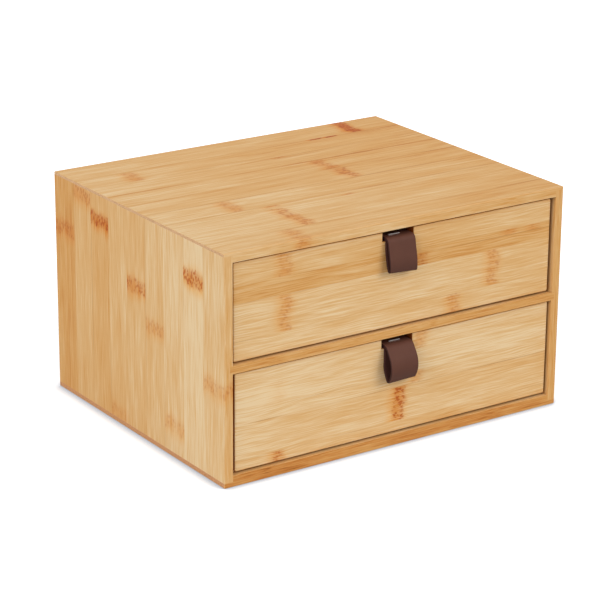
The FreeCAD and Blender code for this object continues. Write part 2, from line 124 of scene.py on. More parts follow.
# %% [markdown]
# A product like this is photographed in a white tent: light comes evenly from all round, with a large soft
# lamp at the front right and another at the left, so that no side stays dark. A white world does the tent,
# and two suns with wide angles do the lamps, because they light the floor evenly right out to the horizon.
# All of it together stays at the level where a colour renders about as it is written.
#
# What the camera sees as background is a separate matter. Light Path tells camera, glossy and transmission
# rays from the ones that light things, so the world can look pure white without lighting any more.

# %% Light and background
WORLD_STRENGTH = 0.5
WHITE = (1, 1, 1, 1)
LAMPS = (
    # name, strength, the way its light travels, width in degrees
    ("key_lamp", 1.39, Vector((-0.45, 0.70, -0.50)), 35),
    ("fill_lamp", 1.60, Vector((0.85, 0.25, -0.46)), 50),
)

scene.view_settings.view_transform = "Standard"
world = bpy.data.worlds.new("white_tent")
world.use_nodes = True
scene.world = world
tree = world.node_tree
tree.nodes.clear()


def seen_directly(tree):
    """1 for rays from the camera, in a mirror or through glass, and 0 for rays that light a surface."""
    path = add(tree, "LightPath")
    seen = path.outputs["Is Camera Ray"]
    for ray in ("Is Glossy Ray", "Is Transmission Ray"):
        seen = add(tree, "Math", {"operation": "MAXIMUM"}, {0: seen, 1: path.outputs[ray]}).outputs[0]
    return seen


strength = add(tree, "MapRange", None, {"Value": seen_directly(tree), "To Min": WORLD_STRENGTH, "To Max": 1})
background = add(tree, "Background", None, {"Color": WHITE, "Strength": strength})
add(tree, "OutputWorld", None, {"Surface": background})

for name, power, way, width in LAMPS:
    lamp = bpy.data.objects.new(name, bpy.data.lights.new(name, "SUN"))
    lamp.data.energy = power
    lamp.data.angle = math.radians(width)
    lamp.rotation_mode = "QUATERNION"
    lamp.rotation_quaternion = way.to_track_quat("-Z", "Y")
    scene.collection.objects.link(lamp)
    print(name, "stands", round(math.degrees(math.asin(-way.normalized().z))), "degrees above the horizon")

# %% [markdown]
# The floor is a plain white sheet. It has to vanish into the background and still take the box's shadow, so
# the camera sees a little light of its own added to the paint. That lifts the open floor to pure white, and
# the shadow stays as a soft grey along the box's lower edge.
#
# Close to the box the sheet turns to a cool grey. That is a painted shadow, which keeps a thin, soft line
# of contact shadow along the edge. The Ambient Occlusion node tells how open a point lies, and so where that
# painted shadow belongs.
#
# A white sheet that reaches to the horizon would throw far more light up than a table top does, and would
# wash out the undersides. So the light that bounces off it meets a darker paint than the camera does.

# %% Floor
FLOOR_SIZE = 12
FLOOR_LIFT = 0.5
PAPER = "#EEF2F7"
BOUNCE_PAINT = "#C0C0C0"
PAINTED_CONTACT_SHADOW = "#B4B8BF"
CONTACT_REACH = 9 * MM
SHUT_IN = 0.45    # how open the sheet lies where the painted shadow is full
OPEN = 0.95       # and where the painted shadow ends

bm = bmesh.new()
bmesh.ops.create_grid(bm, x_segments=1, y_segments=1, size=FLOOR_SIZE / 2)
floor_mesh = bpy.data.meshes.new("floor")
bm.to_mesh(floor_mesh)
bm.free()
floor = bpy.data.objects.new("floor", floor_mesh)
scene.collection.objects.link(floor)
paper, tree = new_material("white_paper")
bounce = add(tree, "BsdfDiffuse", None, {"Color": linear(BOUNCE_PAINT)})
sheet = add(tree, "BsdfDiffuse", None, {"Color": linear(PAPER)})
lift = add(tree, "Emission", None, {"Color": WHITE, "Strength": FLOOR_LIFT})
lifted = add(tree, "AddShader", None, {0: sheet, 1: lift})
# painted shadow: a cool grey shown on the floor where it lies shut in next to the box
contact = add(tree, "Emission", None, {"Color": linear(PAINTED_CONTACT_SHADOW), "Strength": 1})
openness = add(tree, "AmbientOcclusion", None, {"Distance": CONTACT_REACH}).outputs["AO"]
openness = add(tree, "MapRange", None, {0: openness, "From Min": SHUT_IN, "From Max": OPEN})
shown = add(tree, "MixShader", None, {0: openness, 1: contact, 2: lifted})
surface = add(tree, "MixShader", None, {0: seen_directly(tree), 1: bounce, 2: shown})
add(tree, "OutputMaterial", None, {"Surface": surface})
floor_mesh.materials.append(paper)
print("floor size in m:", FLOOR_SIZE)

# %% [markdown]
# Laminated bamboo is glued up from strips of the split culm, about 22 mm wide, sanded flat and given a thin
# satin lacquer. Three things make it look like bamboo and not like any wood. Each strip has its own tone,
# from pale straw to amber, with a hard edge at the glue line. Fine straight fibres run along it. And each
# strip is crossed by short brown rings where the culm had its nodes, a hand's width or more apart.
#
# A picture of bamboo could be painted on, but it would stretch, and it would be wrong at the boards' ends.
# Here the pattern fills space instead: it is worked out from a point's place along the grain, across the
# strips and through the board, so faces, edges and end grain all come out right by themselves.

# %% Colours of bamboo
IVORY = "#E7CB9F"
STRAW = "#DCB178"
HONEY = "#D29B57"
AMBER = "#C07A36"
SOAKED_AND_GAP_SHADE = "#6E3A0E"  # edges that have soaked up the lacquer, and painted shade on the drawer fronts' edges, which show in the gaps
RING_GLOW = "#FCD07A"  # this and the next are what a ring leaves of the light that falls on the wood
RING_BROWN = "#D29A78"
SEAM_BROWN = "#A06A38"
END_DOTS = "#BCA181"  # what the dots leave of an end's own colour
SANDED = "#CFA474"  # a sanded arris drinks a little more lacquer than a face

for name, shade in (("ivory", IVORY), ("soaked edge and gap shade", SOAKED_AND_GAP_SHADE)):
    print(name, "in linear light:", [round(channel, 3) for channel in linear(shade)[:3]])

# %% [markdown]
# Everything fine in bamboo is long and narrow: fibres, bundles of fibres, slow changes of tone. Noise has
# round patches, so its coordinates are divided by the length that a patch should have along the grain and by
# its width the other two ways, and the patches come out drawn out. Each size below is such a pair of length
# and width in millimetres.
#
# Every strip was split from another part of the culm, so its noise is moved along the grain by a chance
# amount, with the strip's own values as the seed. Fibres also stray sideways a little, by a slow noise.
#
# All boards share these nodes, so they go into one group that each board's material uses.

# %% Noise drawn out along the grain
FIBRE = (28, 0.8)  # real fibres are half as wide, and these are coarse enough to show
BUNDLE = (140, 3.2)  # bands where fibres of one tone lie together
PATCH = (90, 16)  # slow changes of tone
WANDER = (38, 10)  # how soon a fibre strays sideways
WANDER_REACH = 1.8  # and how far
SPECK = (3.5, 0.9)  # broken fibres inside a ring
END_DOT = (400, 0.7)  # cut fibre bundles, seen as dots on the end grain
NOISE_ROUGHNESS = 0.6
STRIP_SHIFT = 900  # the furthest that a strip's noise is moved along


def new_group(name, inputs, outputs):
    """An empty node group with the given sockets, as (name, kind) pairs."""
    group = bpy.data.node_groups.new(name, "ShaderNodeTree")
    for in_out, sockets in (("INPUT", inputs), ("OUTPUT", outputs)):
        for socket, kind in sockets:
            group.interface.new_socket(socket, in_out=in_out, socket_type=f"NodeSocket{kind}")
    given = group.nodes.new("NodeGroupInput")
    wanted = group.nodes.new("NodeGroupOutput")
    return group, given.outputs, wanted.inputs


bamboo, given, wanted = new_group(
    "laminated_bamboo",
    (("Along", "Float"), ("Across", "Float"), ("Through", "Float"), ("Strip", "Color"), ("Rings", "Float"),
     ("Seam", "Float"), ("Deeper", "Float"), ("Arris", "Float"), ("End", "Float"), ("End Colour", "Color")),
    (("Color", "Color"), ("Relief", "Float")))

strip = add(bamboo, "SeparateColor", None, {0: given["Strip"]})
seed = add(bamboo, "TexWhiteNoise", {"noise_dimensions": "3D"}, {"Vector": given["Strip"]})
shifted = add(bamboo, "Math", {"operation": "MULTIPLY_ADD"}, {0: seed, 1: STRIP_SHIFT, 2: given["Along"]})


def drawn_out(patch, across):
    """Coordinates in which a patch of that length along the grain and that width is one unit each way."""
    length, width = patch
    place = add(bamboo, "CombineXYZ", None, {0: shifted, 1: across, 2: given["Through"]})
    return add(bamboo, "VectorMath", {"operation": "DIVIDE"}, {0: place, 1: (length, width, width)})


def grain_noise(patch, detail, across):
    """Noise whose patches have that length along the grain and that width."""
    return add(bamboo, "TexNoise", None, {"Vector": drawn_out(patch, across), "Scale": 1, "Detail": detail,
                                          "Roughness": NOISE_ROUGHNESS})


stray = add(bamboo, "Math", {"operation": "MULTIPLY_ADD"},
            {0: grain_noise(WANDER, 1, given["Across"]), 1: WANDER_REACH * 2, 2: given["Across"]})
fibres = grain_noise(FIBRE, 3, stray)
bundles = grain_noise(BUNDLE, 2, stray)
patches = grain_noise(PATCH, 1, given["Across"])
specks = grain_noise(SPECK, 2, stray)
end_dots = grain_noise(END_DOT, 2, given["Across"])
print("bamboo group nodes:", len(bamboo.nodes))

# %% [markdown]
# The tone of a point is its strip's own tone, pushed lighter or darker by patches, bundles and fibres. Each
# noise has its middle at a half, so half its contrast is taken off again. A ramp turns the tone to a colour:
# ivory is tone 0 and amber is tone 1. Only edges darkened past amber go beyond it: edges that have soaked up
# lacquer, and the drawer fronts' edges, whose deep brown there is painted shade of the gaps.
#
# Between two strips lies a glue line. It is a thin brown seam that comes and goes, so it is mixed in only as
# far as the bundles let it.

# %% Tone and colour of the wood
CONTRASTS = ((patches, 0.5), (bundles, 0.4), (fibres, 1.3))
TONES = ((1 / 3, STRAW), (2 / 3, HONEY), (1, AMBER))
DARKEST_TONE = 4 / 3
SEAM_STRENGTH = 0.4
SEAM_COMES, SEAM_FULL = 0.45, 0.7  # the bundles' noise where a seam first shows and where it is full

tone = add(bamboo, "Math", {"operation": "ADD"}, {0: strip.outputs["Red"], 1: given["Deeper"]})
for noise, contrast in CONTRASTS:
    tone = add(bamboo, "Math", {"operation": "MULTIPLY_ADD"}, {0: noise, 1: contrast, 2: tone})
    tone = add(bamboo, "Math", {"operation": "SUBTRACT"}, {0: tone, 1: contrast / 2})
tone = add(bamboo, "Math", {"operation": "DIVIDE"}, {0: tone, 1: DARKEST_TONE})
colour = add(bamboo, "ValToRGB", None, {0: tone})
stops = colour.color_ramp.elements
stops[0].color = linear(IVORY)
stops[1].color = linear(SOAKED_AND_GAP_SHADE)
for level, shade in TONES:
    stops.new(level / DARKEST_TONE).color = linear(shade)

SMOOTH = {"interpolation_type": "SMOOTHSTEP"}
MIX = {"data_type": "RGBA", "blend_type": "MIX"}
MULTIPLY = {"data_type": "RGBA", "blend_type": "MULTIPLY"}

patchy = add(bamboo, "MapRange", SMOOTH, {0: bundles, "From Min": SEAM_COMES, "From Max": SEAM_FULL,
                                          "To Max": SEAM_STRENGTH})
seam = add(bamboo, "Math", {"operation": "MULTIPLY"}, {0: given["Seam"], 1: patchy})
wood = add(bamboo, "Mix", MIX, {"Factor": seam, "A": colour, "B": linear(SEAM_BROWN)})
print("steps from the palest tone to the darkest:", len(stops))

# %% [markdown]
# A ring is where the culm had a node, and the fibres there swerve and break. Seen on a sanded strip it is a
# row of small dark dots and dashes, bowed a little, in an orange glow that runs out along the fibres, a bit
# further on one side than on the other. Its strength differs from strip to strip, and a faint ring is nearly
# all glow: its dots fade faster than its strength, and its glow more slowly.
#
# The strip's colour carries two ring places in its green and blue channels, so the distance to the nearer
# one is what counts, once for the dots and once more for the glow, whose middle lies to one side.

# %% Rings
RING_BOW = 5  # how far a ring bows along the grain
RING_BOW_PATCH = (40, 11)
RAGGED = 4  # how far broken fibres throw its edges about
RING_CORE = 2.5  # half the length of the dotted part
RING_REACH = 6  # where its last dots are
RING_DOT = (2.6, 1.6)  # spacing of the dots: twice the real one, so that they show
DOT_FULL, DOT_ENDS = 0.2, 0.6  # from a dot's middle, in parts of that spacing
DOT_SWERVE = 1.5
BETWEEN_DOTS, IN_DOTS = 0.35, 1.5  # how strong a ring's brown is
DOT_FADE = 1.2  # this and the next are powers of a ring's strength
GLOW_FADE = 0.65
GLOW_REACH = 11
GLOW_SHIFT = 1.5
FIBRE_LOW, FIBRE_HIGH = 0.3, 0.7  # most of the fibres' noise lies between these
DULL_STREAK, BRIGHT_STREAK = 0.5, 1.25

bow = add(bamboo, "Math", {"operation": "SUBTRACT"},
          {0: grain_noise(RING_BOW_PATCH, 1, given["Across"]), 1: 0.5})
bowed = add(bamboo, "Math", {"operation": "MULTIPLY_ADD"}, {0: bow, 1: RING_BOW * 2, 2: given["Along"]})
ragged = add(bamboo, "Math", {"operation": "MULTIPLY_ADD"}, {0: specks, 1: RAGGED, 2: bowed})
nearest = {}
for part, offset in (("dots", -RAGGED / 2), ("glow", GLOW_SHIFT - RAGGED / 2)):
    for place in ("Green", "Blue"):
        past = add(bamboo, "Math", {"operation": "SUBTRACT"}, {0: ragged, 1: strip.outputs[place]})
        past = add(bamboo, "Math", {"operation": "ADD"}, {0: past, 1: offset})
        away = add(bamboo, "Math", {"operation": "ABSOLUTE"}, {0: past})
        if part in nearest:
            away = add(bamboo, "Math", {"operation": "MINIMUM"}, {0: away, 1: nearest[part]})
        nearest[part] = away
swerve = add(bamboo, "VectorMath", {"operation": "MULTIPLY_ADD"},
             {0: add(bamboo, "CombineXYZ", None, {0: specks, 1: specks}), 1: (DOT_SWERVE, -DOT_SWERVE, 0),
              2: drawn_out(RING_DOT, stray)})
dots = add(bamboo, "TexVoronoi", None, {"Vector": swerve, "Scale": 1})
dots = add(bamboo, "MapRange", SMOOTH, {0: dots, "From Min": DOT_ENDS, "From Max": DOT_FULL,
                                        "To Min": BETWEEN_DOTS, "To Max": IN_DOTS})
broken = add(bamboo, "Math", {"operation": "POWER"}, {0: given["Rings"], 1: DOT_FADE})
core = add(bamboo, "MapRange", SMOOTH, {0: nearest["dots"], "From Min": RING_REACH, "From Max": RING_CORE,
                                        "To Max": broken})
core = add(bamboo, "Math", {"operation": "MULTIPLY"}, {0: core, 1: dots})
streaky = add(bamboo, "MapRange", SMOOTH, {0: fibres, "From Min": FIBRE_LOW, "From Max": FIBRE_HIGH,
                                           "To Min": DULL_STREAK, "To Max": BRIGHT_STREAK})
stained = add(bamboo, "Math", {"operation": "POWER"}, {0: given["Rings"], 1: GLOW_FADE})
glow = add(bamboo, "MapRange", SMOOTH, {0: nearest["glow"], "From Min": GLOW_REACH, "From Max": 0,
                                        "To Max": stained})
glow = add(bamboo, "Math", {"operation": "MULTIPLY"}, {0: glow, 1: streaky})
for factor, shade in ((glow, RING_GLOW), (core, RING_BROWN)):
    wood = add(bamboo, "Mix", MULTIPLY, {"Factor": factor, "A": wood, "B": linear(shade)})
print("length of a ring and its glow in mm:", 2 * RING_REACH, "and", 2 * GLOW_REACH)

# %% [markdown]
# Two places on a board show no strips. On the end grain the fibre bundles are cut across and stand out as
# dark dots on an even ground, so each board says what colour its ends have, and the dots only darken it. And
# the sharp edges, which a joiner calls arrises, were broken with sandpaper, so they drink more lacquer. Each
# board's own material finds its ends and its arrises, and the group lays the colours on.

# %% Arrises and ends
DOT_STARTS, DOT_DARK = 0.35, 0.7  # the noise where a dot starts and where it is darkest
DOT_STRENGTH = 0.6

dotted = add(bamboo, "MapRange", SMOOTH, {0: end_dots, "From Min": DOT_STARTS, "From Max": DOT_DARK,
                                          "To Max": DOT_STRENGTH})
end_face = add(bamboo, "Mix", MULTIPLY, {"Factor": dotted, "A": given["End Colour"], "B": linear(END_DOTS)})
wood = add(bamboo, "Mix", MIX, {"Factor": given["Arris"], "A": wood, "B": linear(SANDED)})
wood = add(bamboo, "Mix", MIX, {"Factor": given["End"], "A": wood, "B": end_face})
for value, socket in ((wood.outputs[2], wanted["Color"]), (fibres.outputs[0], wanted["Relief"])):
    bamboo.links.new(value, socket)
print("bamboo group nodes:", len(bamboo.nodes))

# %% [markdown]
# Each board needs its own cut list: how wide its strips are, how dark each one is, and where its rings lie.
# A colour ramp with constant steps holds such a list well. Its position runs across the board, and at each
# step red is the strip's tone, green and blue are the places of up to two rings along the grain in
# millimetres, and alpha is how strong they are. A ring that a strip lacks is put far past the board's end.
#
# The same ramp read a hair's breadth further on gives the next strip's values at a seam and the same ones
# everywhere else, and where the two differ, there is a glue line.

# %% A cut list as a ramp
NO_RING = 9999


def strip_plan(name, strips):
    """A node group that gives a strip's values at a share of the way across the board."""
    group, given, wanted = new_group(f"{name}_strips", (("Share", "Float"),),
                                     (("Strip", "Color"), ("Rings", "Float")))
    ramp = add(group, "ValToRGB", None, {0: given["Share"]})
    ramp.color_ramp.interpolation = "CONSTANT"
    whole = sum(width for width, *rest in strips)
    edge = 0
    stops = ramp.color_ramp.elements
    stops.remove(stops[1])
    for width, tone, strength, *rings in strips:
        stop = stops.new(edge / whole) if edge else stops[0]
        stop.position = edge / whole
        first, second = (*rings, NO_RING, NO_RING)[:2]
        stop.color = (tone, first, second, strength)
        edge += width
    group.links.new(ramp.outputs["Color"], wanted["Strip"])
    group.links.new(ramp.outputs["Alpha"], wanted["Rings"])
    return group, whole


print("a ring that isn't there lies at", NO_RING, "mm")

# %% [markdown]
# One board's material first finds out where a point lies on its board, in millimetres from the board's
# lowest corner, and which way the surface faces there. The cut list is then read at that place and once more
# a seam's width further on. Object coordinates give the place, because they stay with the board when its
# drawer slides.

# %% Where a point lies on its board
SEAM_WIDTH = 0.5
SAME_STRIP = 1e-4  # readings of the cut list that differ by more belong to two strips


def measure(box, axis):
    """How long a box is along one axis, in millimetres."""
    return getattr(box[1] - box[0], axis.lower()) / MM


def place_on_board(tree, box):
    """A point's place from the board's lowest corner, and how squarely the surface faces each axis."""
    coordinates = add(tree, "TexCoord")
    place = add(tree, "VectorMath", {"operation": "SUBTRACT"}, {0: coordinates.outputs["Object"], 1: box[0]})
    place = add(tree, "VectorMath", {"operation": "SCALE"}, {0: place, "Scale": 1 / MM})
    facing = add(tree, "VectorMath", {"operation": "ABSOLUTE"}, {0: coordinates.outputs["Normal"]})
    return [add(tree, "SeparateXYZ", None, {0: vector}).outputs for vector in (place, facing)]


def strip_at(tree, name, strips, across):
    """What the cut list says of a place across the board, and 1 where a seam lies there."""
    plan, whole = strip_plan(name, strips)
    share, next_share = (add(tree, "MapRange", None, {"Value": across, "From Min": -step,
                                                      "From Max": whole - step})
                         for step in (0, SEAM_WIDTH))
    here, beside = (add(tree, "Group", {"node_tree": plan}, {0: value}) for value in (share, next_share))
    change = add(tree, "VectorMath", {"operation": "DISTANCE"}, {0: here, 1: beside})
    seam = add(tree, "Math", {"operation": "GREATER_THAN"}, {0: change, 1: SAME_STRIP})
    return here.outputs, seam


print("a seam is drawn", SEAM_WIDTH, "mm wide")

# %% [markdown]
# Ends, long edges and arrises are told apart by the way they face. A face that looks along the grain is an
# end, one that the strips lie side by side towards is a long edge, and one that faces no axis squarely is an
# arris. Each look comes in gradually, so that a rounded arris has no hard line.

# %% Which way a surface faces
# how squarely a surface faces its axis where each look starts, and where it is full
END_FACING = (0.75, 0.95)
EDGE_FACING = (0.6, 0.95)
ARRIS_FACING = (0.99, 0.8)


def faces(tree, squareness, limits, full=1):
    """From 0 at the first limit of squareness to full at the second."""
    return add(tree, "MapRange", None, {"Value": squareness, "From Min": limits[0], "From Max": limits[1],
                                        "To Max": full})


def squarest(tree, facing):
    """How squarely a surface faces the axis that it faces best."""
    best = add(tree, "Math", {"operation": "MAXIMUM"}, {0: facing["X"], 1: facing["Y"]})
    return add(tree, "Math", {"operation": "MAXIMUM"}, {0: best, 1: facing["Z"]})


print("an arris starts", round(math.degrees(math.acos(ARRIS_FACING[0]))), "degrees off square")

# %% [markdown]
# The material itself hands all this to the bamboo group. The lacquer over the wood is thin and nearly matt,
# so it keeps a dull sheen and lets the fibres be felt, and a slight bump does that.

# %% One board's material
SANDED_SHARE = 0.5  # how far an arris goes to the sanded colour, less what the edge has darkened
LACQUER_ROUGHNESS = 0.6
LACQUER_SHEEN = 0.2  # specular level: a matt lacquer, less than half as glossy as a usual one
FIBRE_RELIEF = 0.02 * MM
RELIEF_STRENGTH = 0.6


def bamboo_material(name, box, grain, across, strips, end_colour, edge_tone, shade_drift):
    """Laminated bamboo for one board, whose grain runs along one axis and its strips lie across another.

    The tone deepens by shade_drift from one end of the grain to the other: painted shade, for light that
    falls off across the box.
    """
    material, tree = new_material(name)
    through = (set("XYZ") - {grain, across}).pop()
    place, facing = place_on_board(tree, box)
    strip, seam = strip_at(tree, name, strips, place[across])
    end = faces(tree, facing[grain], END_FACING)
    edge = faces(tree, facing[across], EDGE_FACING, edge_tone)
    arris = faces(tree, squarest(tree, facing), ARRIS_FACING, max(0, SANDED_SHARE - edge_tone))
    # painted shade: the tone deepens along the grain, as the light falls off across the box
    deeper = add(tree, "Math", {"operation": "MULTIPLY_ADD"},
                 {0: place[grain], 1: shade_drift / measure(box, grain), 2: edge})
    wood = add(tree, "Group", {"node_tree": bamboo},
               {"Along": place[grain], "Across": place[across], "Through": place[through],
                "Strip": strip["Strip"], "Rings": strip["Rings"], "Seam": seam, "Deeper": deeper,
                "Arris": arris, "End": end, "End Colour": linear(end_colour)})
    relief = add(tree, "Bump", None, {"Height": wood.outputs["Relief"], "Distance": FIBRE_RELIEF,
                                      "Strength": RELIEF_STRENGTH})
    lacquered = add(tree, "BsdfPrincipled", None,
                    {"Base Color": wood.outputs["Color"], "Roughness": LACQUER_ROUGHNESS,
                     "Specular IOR Level": LACQUER_SHEEN, "Normal": relief})
    add(tree, "OutputMaterial", None, {"Surface": lacquered})
    return material


print("lacquer roughness:", LACQUER_ROUGHNESS, "and fibre relief in mm:", FIBRE_RELIEF / MM)

# %% [markdown]
# The cut lists of the boards that show. Widths and ring places are in millimetres. The first strip lies at
# the board's front or lower edge and the last one at its rear or upper edge, and rings count from the
# board's left or lower end. A ring's strength is 1 for a dark one, and a few are darker still.
#
# The boards that hardly show get their lists by chance, from a fixed seed, so that they come out the same
# each time.

# %% Cut lists
TOP = (
    # width, tone, ring strength, ring places
    (19.4, 0.30, 0.32, 55),
    (1.2, 0.46, 0.00),
    (21.4, 0.26, 0.52, 75),
    (15.4, 0.24, 0.48, 74),
    (3.0, 0.26, 0.35, 129),
    (3.2, 0.26, 0.50, 74),
    (0.8, 0.48, 0.00),
    (21.6, 0.27, 0.35, 52),
    (1.2, 0.50, 0.00),
    (21.2, 0.34, 0.55, 155),
    (1.4, 0.52, 0.00),
    (20.2, 0.34, 0.45, 153),
    (2.4, 0.64, 0.00),
    (14.6, 0.32, 0.00),
    (3.2, 0.36, 0.35, 138),
    (2.4, 0.32, 0.00),
    (19.0, 0.34, 0.38, 36),
    (2.4, 0.46, 1.50, 181, 194),
    (25.8, 0.32, 1.35, 217),
)
LEFT_SIDE = (
    (22.5, 0.22, 0.34, 57),
    (22.0, 0.06, 0.88, 118),
    (22.0, 0.18, 0.32, 18),
    (21.5, 0.30, 0.32, 73),
    (22.0, 0.38, 0.62, 94),
    (22.0, 0.36, 0.20, 4),
    (21.5, 0.48, 1.00, 124),
    (21.5, 0.42, 0.42, 136),
    (25.0, 0.62, 0.43, 108),
)
UPPER_FRONT = (
    (12.2, 0.22, 0.32, 160),
    (23.0, 0.20, 0.35, 36, 189),
    (7.6, 0.52, 0.45, 135),
    (3.4, 0.54, 0.30, 203, 222),
    (14.4, 0.33, 0.27, 36),
)
LOWER_FRONT = (
    (6.7, 0.28, 0.55, 31),
    (22.0, 0.18, 0.84, 119),
    (8.0, 0.14, 0.33, 132),
    (14.0, 0.10, 0.06, 31),
    (10.9, 0.16, 0.28, 135),
)
STRIP_WIDTH = 22
NARROWEST = 8  # the first strip, which the saw has cut to what was left
RING_SPACING = (150, 320)
CHANCE_TONES = (0.15, 0.6)
CHANCE_RINGS = (0.4, 0.9)


def chance_strips(seed, width, length):
    """A cut list by chance: strips of even width, of mixed tones, with a ring or two where they fall."""
    dice = random.Random(seed)
    strips = [(dice.uniform(NARROWEST, STRIP_WIDTH), dice.uniform(*CHANCE_TONES), 0)]
    while sum(laid[0] for laid in strips) < width:
        first = dice.uniform(-RING_SPACING[0] / 2, length)
        rings = [place for place in (first, first + dice.uniform(*RING_SPACING)) if 0 < place < length]
        strips.append((STRIP_WIDTH, dice.uniform(*CHANCE_TONES), dice.uniform(*CHANCE_RINGS), *rings))
    return strips


print("strips in the top:", len(TOP), "and in the left side:", len(LEFT_SIDE))

# %% [markdown]
# One table says how every board is cut: which axis its grain follows, which axis crosses its strips, its cut
# list or the seed of one, and how its ends and long edges look. A sawn edge soaks up lacquer, so the edges
# are darker than the faces. That is strongest on the drawer fronts, where the dark edges frame the fronts,
# and weakest on the top, whose front edge was sanded as smooth as its face. On the fronts, the dark edges
# and ends are mostly painted shade, as deep as the gaps they show in. The tone added from end to end is
# painted
# shade too: it makes a board darker towards the right, as the light falls off.
#
# A solid that came ready made keeps its mesh, and only its material slots are filled anew.

# %% Give every board its material
PALE_END = "#DDB388"
RED_END = "#D49C6E"
GAP_SHADED_END = "#8C440C"  # the fronts' ends: painted shade, as dark as the gaps they show in
DRAWER_BOARDS = (("left_side", "Y", "Z"), ("right_side", "Y", "Z"), ("back", "X", "Z"), ("bottom", "X", "Y"))
DRAWER_SEEDS = {"upper": 20, "lower": 30}

BOARDS = [
    # node, grain, across, cut list or seed, end grain, tone added on the long edges, and painted shade added
    # from end to end
    ("top_panel", "X", "Y", TOP, PALE_END, -0.05, 0.28),
    ("bottom_panel", "X", "Y", 11, RED_END, 0.44, 0),
    ("left_side_panel", "Z", "Y", LEFT_SIDE, PALE_END, 0.20, 0),
    ("right_side_panel", "Z", "Y", 12, PALE_END, 0.12, 0),
    ("middle_shelf", "X", "Y", 13, PALE_END, 0.20, 0),
    ("back_panel", "X", "Z", 14, PALE_END, 0.20, 0),
    # the fronts' dark edges and ends are painted shade of the gaps round them
    ("upper_drawer_front", "X", "Z", UPPER_FRONT, GAP_SHADED_END, 0.85, 0.12),
    ("lower_drawer_front", "X", "Z", LOWER_FRONT, GAP_SHADED_END, 0.85, 0.12),
]
for level, first_seed in DRAWER_SEEDS.items():
    for seed, (part, grain, across) in enumerate(DRAWER_BOARDS, first_seed):
        BOARDS.append((f"{level}_drawer_{part}", grain, across, seed, PALE_END, 0.15, 0))


def dress(node, material):
    """Give a ready-made solid one material."""
    materials = nodes[node].data.materials
    materials.clear()
    materials.append(material)


for node, grain, across, strips, end_colour, edge_tone, shade_drift in BOARDS:
    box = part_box(node)
    if isinstance(strips, int):
        strips = chance_strips(strips, measure(box, across), measure(box, grain))
    dress(node, bamboo_material(f"bamboo_{node}", box, grain, across, strips, end_colour, edge_tone, shade_drift))
print("boards dressed:", len(BOARDS))

# %% [markdown]
# Each pull is a strap of smooth imitation leather, 20 mm wide and 1.25 mm thick, doubled into a loop. Both
# ends lie in the notch under a staple. The outer layer leaves the notch and swells into a belly as far as a
# sharp crease, and the rear one leans back from there until it rests on the wood.
#
# A strap is best built as it is bent. One edge across its width is walked along the strap's middle line:
# pushed on where the strap is straight and spun about a centre where it bends. The walk gives a ribbon
# without thickness, in even steps. Solidify then gives it its body, and Bevel eases its cut edges.

# %% Walk a ribbon
ACROSS_STEPS = 20
STEP = 1  # one row of faces for each millimetre of strap
BEND_STEP = math.radians(12)  # or one for this much of a tight bend
FEWEST_BEND_STEPS = 3


class Ribbon:
    """A strip walked forwards from an edge across it, in the plane of its Y and Z, heading towards -Y."""

    def __init__(self, corner_a, corner_b):
        self.bm = bmesh.new()
        ends = [self.bm.verts.new(corner) for corner in (corner_a, corner_b)]
        edge = self.bm.edges.new(ends)
        bmesh.ops.subdivide_edges(self.bm, edges=[edge], cuts=ACROSS_STEPS - 1)
        self.tip = list(self.bm.edges)
        self.heading = math.pi
        self.length = 0

    def way(self, turn=0):
        """The unit step at an angle to the left of the heading, seen from the +X side."""
        return Vector((0, math.cos(self.heading + turn), math.sin(self.heading + turn)))

    def place(self):
        return self.tip[0].verts[0].co.copy()

    def straight(self, length):
        steps = max(1, round(length / MM / STEP))
        for step in range(steps):
            made = bmesh.ops.extrude_edge_only(self.bm, edges=self.tip)["geom"]
            self.tip = [part for part in made if isinstance(part, bmesh.types.BMEdge)
                        and all(vert in made for vert in part.verts)]
            verts = list({vert for edge in self.tip for vert in edge.verts})
            bmesh.ops.translate(self.bm, verts=verts, vec=self.way() * length / steps)
        self.length += length

    def bend(self, radius, turn):
        side = math.copysign(math.pi / 2, turn)
        centre = self.place() + self.way(side) * radius
        along = radius * abs(turn)
        steps = max(FEWEST_BEND_STEPS, round(along / MM / STEP), round(abs(turn) / BEND_STEP))
        verts = list({vert for edge in self.tip for vert in edge.verts})
        made = bmesh.ops.spin(self.bm, geom=[*self.tip, *verts], cent=centre, axis=(1, 0, 0), angle=turn,
                              steps=steps)
        self.tip = [part for part in made["geom_last"] if isinstance(part, bmesh.types.BMEdge)]
        self.heading += turn
        self.length += along


print("a strap is", ACROSS_STEPS, "faces across")

# %% [markdown]
# The walk itself follows the strap from its upper end. It lies flat in the notch, bends down over the front,
# hangs straight for a stretch and swells into the belly. At the crease it turns sharply back up. The rear
# layer leans towards the front and bends until it rests there. From then on its length isn't chosen: it goes
# straight up to the notch's rounded arris, over it, and back in to where it began, one layer lower. The
# printed ends show whether it has arrived.

# %% The walk of each strap
STRAP_THICKNESS = 1.25
LAYER_GAP = 0.1
ARRIS_RADIUS = 0.7
CREASE_RADIUS = 1.1
PULLS = {
    # level: bend, leaving angle, hanging run, belly, tuck angle, lean angle and rest
    "upper": (3, 12, 9.8, 28, 4, 14, 28),
    "lower": (4, 34, 5, 13.5, 37, 28, 12),
}


